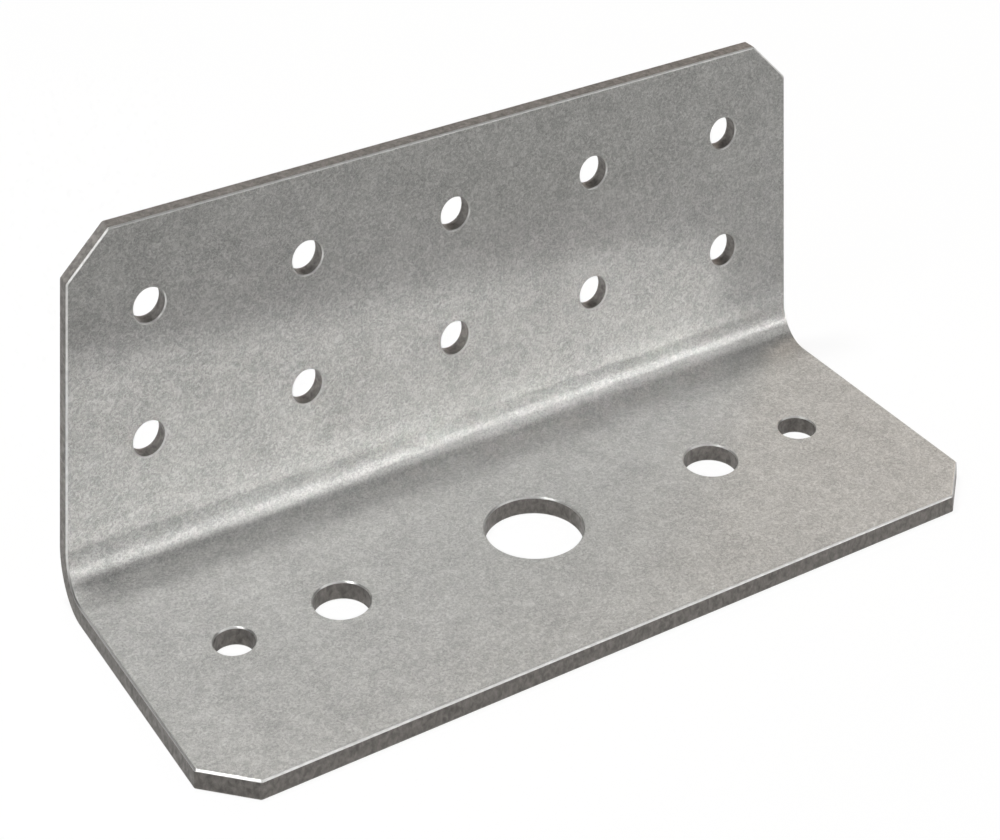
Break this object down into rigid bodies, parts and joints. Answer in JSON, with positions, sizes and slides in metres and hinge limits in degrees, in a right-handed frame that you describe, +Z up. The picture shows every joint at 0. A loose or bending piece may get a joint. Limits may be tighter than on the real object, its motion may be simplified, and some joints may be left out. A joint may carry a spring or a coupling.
{
  "type": "concrete clip",
  "caption": "Folded angle clip of galvanised sheet steel with cropped corners: screw holes in the standing leg fix framing, and anchor holes in the base fix it to concrete.",
  "frame": {"origin": "centre of the anchor hole, on the underside of the base", "axes": "+X along the fold, +Y from the base towards the outer face of the standing leg, +Z up from the base"},
  "size_m": [0.127, 0.0512, 0.0514],
  "materials": {
    "galvanised_sheet": "hot-dip galvanised, matt with a fine mottle"
  },
  "bodies": {
    "root": {"angle_clip": "galvanised_sheet"}
  },
  "joints": []
}
